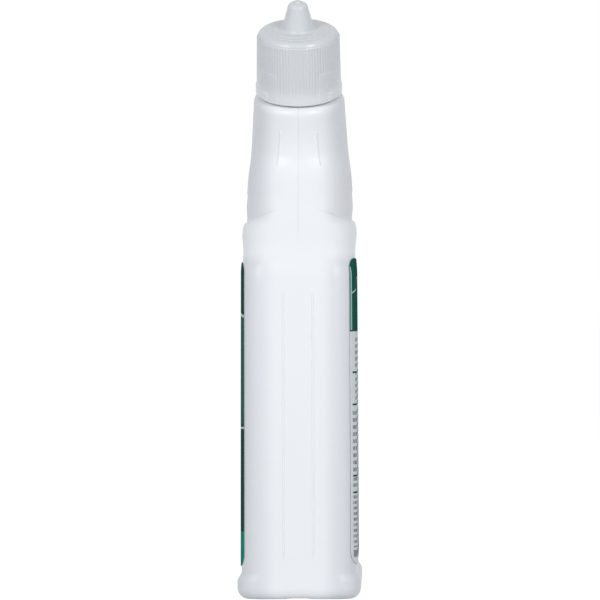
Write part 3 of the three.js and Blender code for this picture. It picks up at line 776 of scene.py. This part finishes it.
cap_rings = [*cap_inside(cap_rays), *cap_outside(cap_rays)]
cap_tip = cone_high + cone_round + pip_height
cap = skin("screw_cap", cap_rings, on_axis(cone_ceiling - pin_length), on_axis(cap_tip))
# Painted light: the cap's colour is paler near its rim, standing in for light through the milky wall.
rim_painted_light = (0.70, 0.735, 0.775)
skirt_grey = (0.62, 0.65, 0.685)
painted_light_span = (2, 9)
cap_plastic, tree, shader = plastic("cap plastic", skirt_grey, roughness=0.3)
neck_axis = on_axis(1) - on_axis(0)
rim_place = float(np.dot(on_axis(0), neck_axis))
up_neck = distance_along(tree, tuple(neck_axis))
painted_light_low, painted_light_high = [(rim_place + z) * MM for z in painted_light_span]
colour = blended(tree, up_neck, painted_light_low, painted_light_high, rim_painted_light, skirt_grey)
tree.links.new(colour, shader.inputs["Base Color"])
shader.inputs["IOR"].default_value = 1.49
cloud = surface_noise(tree, scale=80, detail=3)
varied(tree, cloud, low=0.26, high=0.36, socket=shader.inputs["Roughness"])
cap.data.materials.append(cap_plastic)
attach(cap, "cap")
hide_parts("cap")

# Labels: printed polypropylene film, one on each broad side, pressed round both upright corners and up
# to the hollow below the shoulder. Their corners are round. Print is kept to plain fields and bars.
label_off = 0.28
label_thick = 0.22
label_corner = 6
label_rows = 110
label_columns = 150
front_span = (15, 157.7)
front_wrap = 30
back_span = (16.2, 159.6)
back_wrap = 41


def place_at_height(z):
    """The place on the shoulder where the broad side lies at a height."""
    low, high = 2.0, 3.0
    for _ in range(30):
        middle = (low + high) / 2
        near, far, _depth, _corner, sag = neck_level(middle)
        if (near[1] + far[1]) / 2 - sag > z:
            low = middle
        else:
            high = middle
    return high


def corner_ray(wrap):
    """Ray to the place on an upright corner where a label that wraps so far round it ends."""
    turn = math.radians(90 - wrap)
    x = side_x - corner_radius + corner_radius * math.cos(turn)
    y = panel_depth_low - corner_radius + corner_radius * math.sin(turn)
    return math.atan2(y, x)


def smooth_rows(count):
    """Shares from 0 to 1, closer together at both ends."""
    even = np.linspace(0, 1, count)
    return between(even, smooth(even), 0.8)


def label_film(name, side, low, high, wrap):
    """A film over the panel, as a sheet with its width and height as UV, thickened inwards."""
    end_ray = corner_ray(wrap)
    rays = np.linspace(end_ray, math.pi - end_ray, 700) * side
    sheet = []
    flat = []
    for v in between(low, high, smooth_rows(label_rows)):
        level = body_level(v) if v <= panel_top else neck_level(place_at_height(v))
        line = level_ring(level, rays, -label_off)
        run = np.concatenate([[0], np.cumsum(np.linalg.norm(np.diff(line, axis=0), axis=1))])
        from_end = min(v - low, high - v)
        cut = label_corner - math.sqrt(label_corner ** 2 - max(label_corner - from_end, 0) ** 2)
        across = between(cut, run[-1] - cut, smooth_rows(label_columns))
        sheet.append(np.stack([np.interp(across, run, line[:, k]) for k in range(3)], axis=1))
        flat.append(np.stack([across - run[-1] / 2, np.full_like(across, v)], axis=1))
    points = np.array(sheet).reshape(-1, 3)
    places = np.array(flat).reshape(-1, 2)
    faces = []
    for row in range(label_rows - 1):
        for column in range(label_columns - 1):
            here = row * label_columns + column
            face = [here, here + label_columns, here + label_columns + 1, here + 1]
            faces.append(face if side > 0 else face[::-1])
    mesh = bpy.data.meshes.new(name)
    mesh.from_pydata((points * MM).tolist(), [], faces)
    layer = mesh.uv_layers.new(name="print")
    corners = np.zeros(len(mesh.loops), dtype=np.int64)
    mesh.loops.foreach_get("vertex_index", corners)
    layer.data.foreach_set("uv", places[corners].ravel())
    mesh.shade_smooth()
    film = bpy.data.objects.new(name, mesh)
    bpy.context.scene.collection.objects.link(film)
    thickness = film.modifiers.new("film thickness", "SOLIDIFY")
    thickness.thickness = label_thick * MM
    thickness.offset = -1
    return film


front_film = label_film("front_film", -1, *front_span, front_wrap)
back_film = label_film("back_film", 1, *back_span, back_wrap)


def print_axes(tree):
    """Sockets with a print's place across and up, in millimetres."""
    uv = tree.nodes.new("ShaderNodeUVMap")
    uv.uv_map = "print"
    split = tree.nodes.new("ShaderNodeSeparateXYZ")
    tree.links.new(uv.outputs["UV"], split.inputs["Vector"])
    return split.outputs["X"], split.outputs["Y"]


def inside(tree, value, low, high):
    """1 where a value lies between two others."""
    above = computed(tree, "GREATER_THAN", value, low)
    return computed(tree, "MULTIPLY", above, computed(tree, "LESS_THAN", value, high))


def painted(tree, ground, share, colour):
    """A ground, as a colour or a socket, with another colour over it where share is 1."""
    mix = tree.nodes.new("ShaderNodeMix")
    mix.data_type = "RGBA"
    tree.links.new(share, mix.inputs["Factor"])
    coloured(tree, mix.inputs["A"], ground)
    coloured(tree, mix.inputs["B"], colour)
    return mix.outputs["Result"]


def text_bars(tree, across, up, pitch, word):
    """Rows of plain bars of uneven strength, in place of small print."""
    row = computed(tree, "DIVIDE", up, pitch)
    in_row = computed(tree, "LESS_THAN", computed(tree, "FRACT", row), 0.55)
    place = tree.nodes.new("ShaderNodeCombineXYZ")
    tree.links.new(computed(tree, "DIVIDE", across, word), place.inputs["X"])
    tree.links.new(computed(tree, "FLOOR", row), place.inputs["Y"])
    noise = tree.nodes.new("ShaderNodeTexNoise")
    noise.noise_dimensions = "2D"
    noise.inputs["Scale"].default_value = 1
    noise.inputs["Detail"].default_value = 2
    tree.links.new(place.outputs["Vector"], noise.inputs["Vector"])
    strength = tree.nodes.new("ShaderNodeMapRange")
    strength.inputs["From Min"].default_value = 0.34
    strength.inputs["From Max"].default_value = 0.6
    strength.inputs["To Min"].default_value = 0.15
    strength.inputs["To Max"].default_value = 0.9
    tree.links.new(noise.outputs["Fac"], strength.inputs["Value"])
    return computed(tree, "MULTIPLY", in_row, strength.outputs["Result"])


dark_green = (0.018, 0.075, 0.062)
mid_green = (0.03, 0.13, 0.10)
teal = (0.013, 0.24, 0.19)
pale_line = (0.55, 0.62, 0.60)
wave_height = 6
wave_rate = 0.055
wave_field = (78, 128)
wave_line = (128, 129.2)
level_line = (79.4, 80.3)
foot_field = (0, 31.5)
front_print, tree, shader = plastic("front print", dark_green, roughness=0.5)
shader.inputs["Specular IOR Level"].default_value = 0
across, up = print_axes(tree)
swing = computed(tree, "SINE", computed(tree, "MULTIPLY", across, wave_rate))
wave = computed(tree, "ADD", up, computed(tree, "MULTIPLY", swing, wave_height))
colour = painted(tree, dark_green, inside(tree, wave, *wave_field), mid_green)
colour = painted(tree, colour, inside(tree, wave, *wave_line), pale_line)
colour = painted(tree, colour, inside(tree, up, *level_line), pale_line)
colour = painted(tree, colour, inside(tree, up, *foot_field), teal)
tree.links.new(colour, shader.inputs["Base Color"])
front_film.data.materials.append(front_print)

white_ground = (0.69, 0.715, 0.735)
header_green = (0.014, 0.10, 0.075)
border_green = (0.15, 0.29, 0.27)
slate = (0.09, 0.125, 0.18)
left_column = (2, 20)
right_column = (22, 44.5)
edge_column = (44.5, 47.3)
word_length = 1.3
foot_block = (19.6, 22.9)
foot_strength = 0.7
rule_places = (105.2, 90.2, 57, 49.2)
rule_thick = 0.9
header_z = 124.7
border_z = 125.4
border_from = 47.9
line_from = 47.4
line_high = 155
past_label = 200
bow_rate = 0.0035
bow_span = (150.2, 150.8)
back_print, tree, shader = plastic("back print", white_ground, roughness=0.5)
shader.inputs["Specular IOR Level"].default_value = 0
across, up = print_axes(tree)
from_middle = computed(tree, "ABSOLUTE", across)
in_left = inside(tree, from_middle, *left_column)
narrow = computed(tree, "ADD", in_left, inside(tree, from_middle, *right_column))
wide = computed(tree, "ADD", narrow, inside(tree, from_middle, *edge_column))
text_blocks = [(24, 49, 2.6, wide), (51, 57, 2.9, wide), (58.5, 89, 3.3, wide)]
text_blocks += [(92, 105, 2.9, narrow), (107, 123, 3.0, narrow)]
colour = white_ground
for low, high, pitch, columns in text_blocks:
    bars = text_bars(tree, across, up, pitch, word_length)
    ink = computed(tree, "MULTIPLY", bars, inside(tree, up, low, high))
    colour = painted(tree, colour, computed(tree, "MULTIPLY", ink, columns), slate)
block = computed(tree, "MULTIPLY", inside(tree, up, *foot_block), wide)
colour = painted(tree, colour, computed(tree, "MULTIPLY", block, foot_strength), slate)
for rule_z in rule_places:
    band = computed(tree, "MULTIPLY", inside(tree, up, rule_z, rule_z + rule_thick), wide)
    colour = painted(tree, colour, band, header_green)
colour = painted(tree, colour, inside(tree, up, header_z, past_label), header_green)
in_border = inside(tree, from_middle, border_from, past_label)
border = computed(tree, "MULTIPLY", inside(tree, up, border_z, past_label), in_border)
colour = painted(tree, colour, border, border_green)
in_line = inside(tree, from_middle, line_from, border_from)
side_line = computed(tree, "MULTIPLY", inside(tree, up, border_z, line_high), in_line)
colour = painted(tree, colour, side_line, pale_line)
bow = computed(tree, "MULTIPLY", computed(tree, "MULTIPLY", across, across), bow_rate)
in_bow = inside(tree, computed(tree, "ADD", up, bow), *bow_span)
bow_line = computed(tree, "MULTIPLY", in_bow, inside(tree, from_middle, 0, line_from))
colour = painted(tree, colour, bow_line, pale_line)
tree.links.new(colour, shader.inputs["Base Color"])
back_film.data.materials.append(back_print)

label_films = [(front_film, "front_label", "front_label_film")]
label_films += [(back_film, "back_label", "back_label_film")]
for film, node, slot in label_films:
    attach(film, "bottle")
    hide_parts(node)

# Setting: a pale floor that keeps the bottle's shadow, a white surround, two soft lamps in front at
# either side, and the camera level with the lower body, a little to the right of the narrow side.
camera_distance = 1.6
camera_height = 0.130
camera_turn = math.radians(1.5)
camera_roll = -0.003
aim = Vector((0, -0.0003, 0.1397))
focal_pixels = 3331
frame_pixels = 600
camera = bpy.data.objects.new("camera", bpy.data.cameras.new("camera"))
camera.data.sensor_width = 36
camera.data.lens = camera.data.sensor_width * focal_pixels / frame_pixels
camera_x = camera_distance * math.cos(camera_turn)
camera_y = camera_distance * math.sin(camera_turn)
camera.location = (camera_x, camera_y, camera_height)
camera.rotation_mode = "QUATERNION"
facing = (aim - camera.location).to_track_quat("-Z", "Y")
camera.rotation_quaternion = facing @ Quaternion((0, 0, 1), camera_roll)
bpy.context.scene.collection.objects.link(camera)
bpy.context.scene.camera = camera
bpy.context.scene.view_settings.view_transform = "Standard"
lamp_aim_z = 0.14


def soft_lamp(name, turn, rise, distance, size, power):
    """A round lamp that faces the middle of the bottle, so many degrees beside and above the camera."""
    lamp = bpy.data.objects.new(name, bpy.data.lights.new(name, "AREA"))
    lamp.data.shape = "DISK"
    lamp.data.size = size
    lamp.data.energy = power
    level = distance * math.cos(math.radians(rise))
    middle = Vector((0, 0, lamp_aim_z))
    offset = (level * math.cos(math.radians(turn)), level * math.sin(math.radians(turn)))
    lamp.location = middle + Vector((*offset, distance * math.sin(math.radians(rise))))
    lamp.rotation_mode = "QUATERNION"
    lamp.rotation_quaternion = (middle - lamp.location).to_track_quat("-Z", "Y")
    bpy.context.scene.collection.objects.link(lamp)


soft_lamp("lamp_left", turn=-33, rise=20, distance=2.2, size=0.5, power=15)
soft_lamp("lamp_right", turn=33, rise=20, distance=2.2, size=0.5, power=15)

ambient = 0.46
background_seen = 1.0
world = bpy.data.worlds.new("surround")
bpy.context.scene.world = world
world.use_nodes = True
tree = world.node_tree
tree.nodes.clear()


def seen_directly(tree):
    """1 for a ray that the camera, a gloss or a clear piece sends, and 0 for light on a surface."""
    path = tree.nodes.new("ShaderNodeLightPath")
    seen = computed(tree, "MAXIMUM", path.outputs["Is Camera Ray"], path.outputs["Is Glossy Ray"])
    return computed(tree, "MAXIMUM", seen, path.outputs["Is Transmission Ray"])


output = tree.nodes.new("ShaderNodeOutputWorld")
choice = tree.nodes.new("ShaderNodeMixShader")
for slot, strength in ((1, ambient), (2, background_seen)):
    background = tree.nodes.new("ShaderNodeBackground")
    background.inputs["Color"].default_value = (1, 1, 1, 1)
    background.inputs["Strength"].default_value = strength
    tree.links.new(background.outputs["Background"], choice.inputs[slot])
tree.links.new(seen_directly(tree), choice.inputs["Fac"])
tree.links.new(choice.outputs["Shader"], output.inputs["Surface"])

floor_half = 60
paper_grey = (0.55, 0.55, 0.55)
paper_glow = 0.75
bounce_grey = (0.8, 0.8, 0.8)
floor_mesh = bpy.data.meshes.new("floor")
corner_signs = ((-1, -1), (1, -1), (1, 1), (-1, 1))
floor_corners = [(x * floor_half, y * floor_half, 0) for x, y in corner_signs]
floor_mesh.from_pydata(floor_corners, [], [(0, 1, 2, 3)])
floor = bpy.data.objects.new("floor", floor_mesh)
bpy.context.scene.collection.objects.link(floor)
floor_paper = bpy.data.materials.new("floor paper")
floor_paper.use_nodes = True
tree = floor_paper.node_tree
tree.nodes.clear()
output = tree.nodes.new("ShaderNodeOutputMaterial")
paper = tree.nodes.new("ShaderNodeBsdfDiffuse")
paper.inputs["Color"].default_value = (*paper_grey, 1)
glow = tree.nodes.new("ShaderNodeEmission")
glow.inputs["Strength"].default_value = paper_glow
both = tree.nodes.new("ShaderNodeAddShader")
tree.links.new(paper.outputs["BSDF"], both.inputs[0])
tree.links.new(glow.outputs["Emission"], both.inputs[1])
plain = tree.nodes.new("ShaderNodeBsdfDiffuse")
plain.inputs["Color"].default_value = (*bounce_grey, 1)
choice = tree.nodes.new("ShaderNodeMixShader")
tree.links.new(seen_directly(tree), choice.inputs["Fac"])
tree.links.new(plain.outputs["BSDF"], choice.inputs[1])
tree.links.new(both.outputs["Shader"], choice.inputs[2])
tree.links.new(choice.outputs["Shader"], output.inputs["Surface"])
floor.data.materials.append(floor_paper)
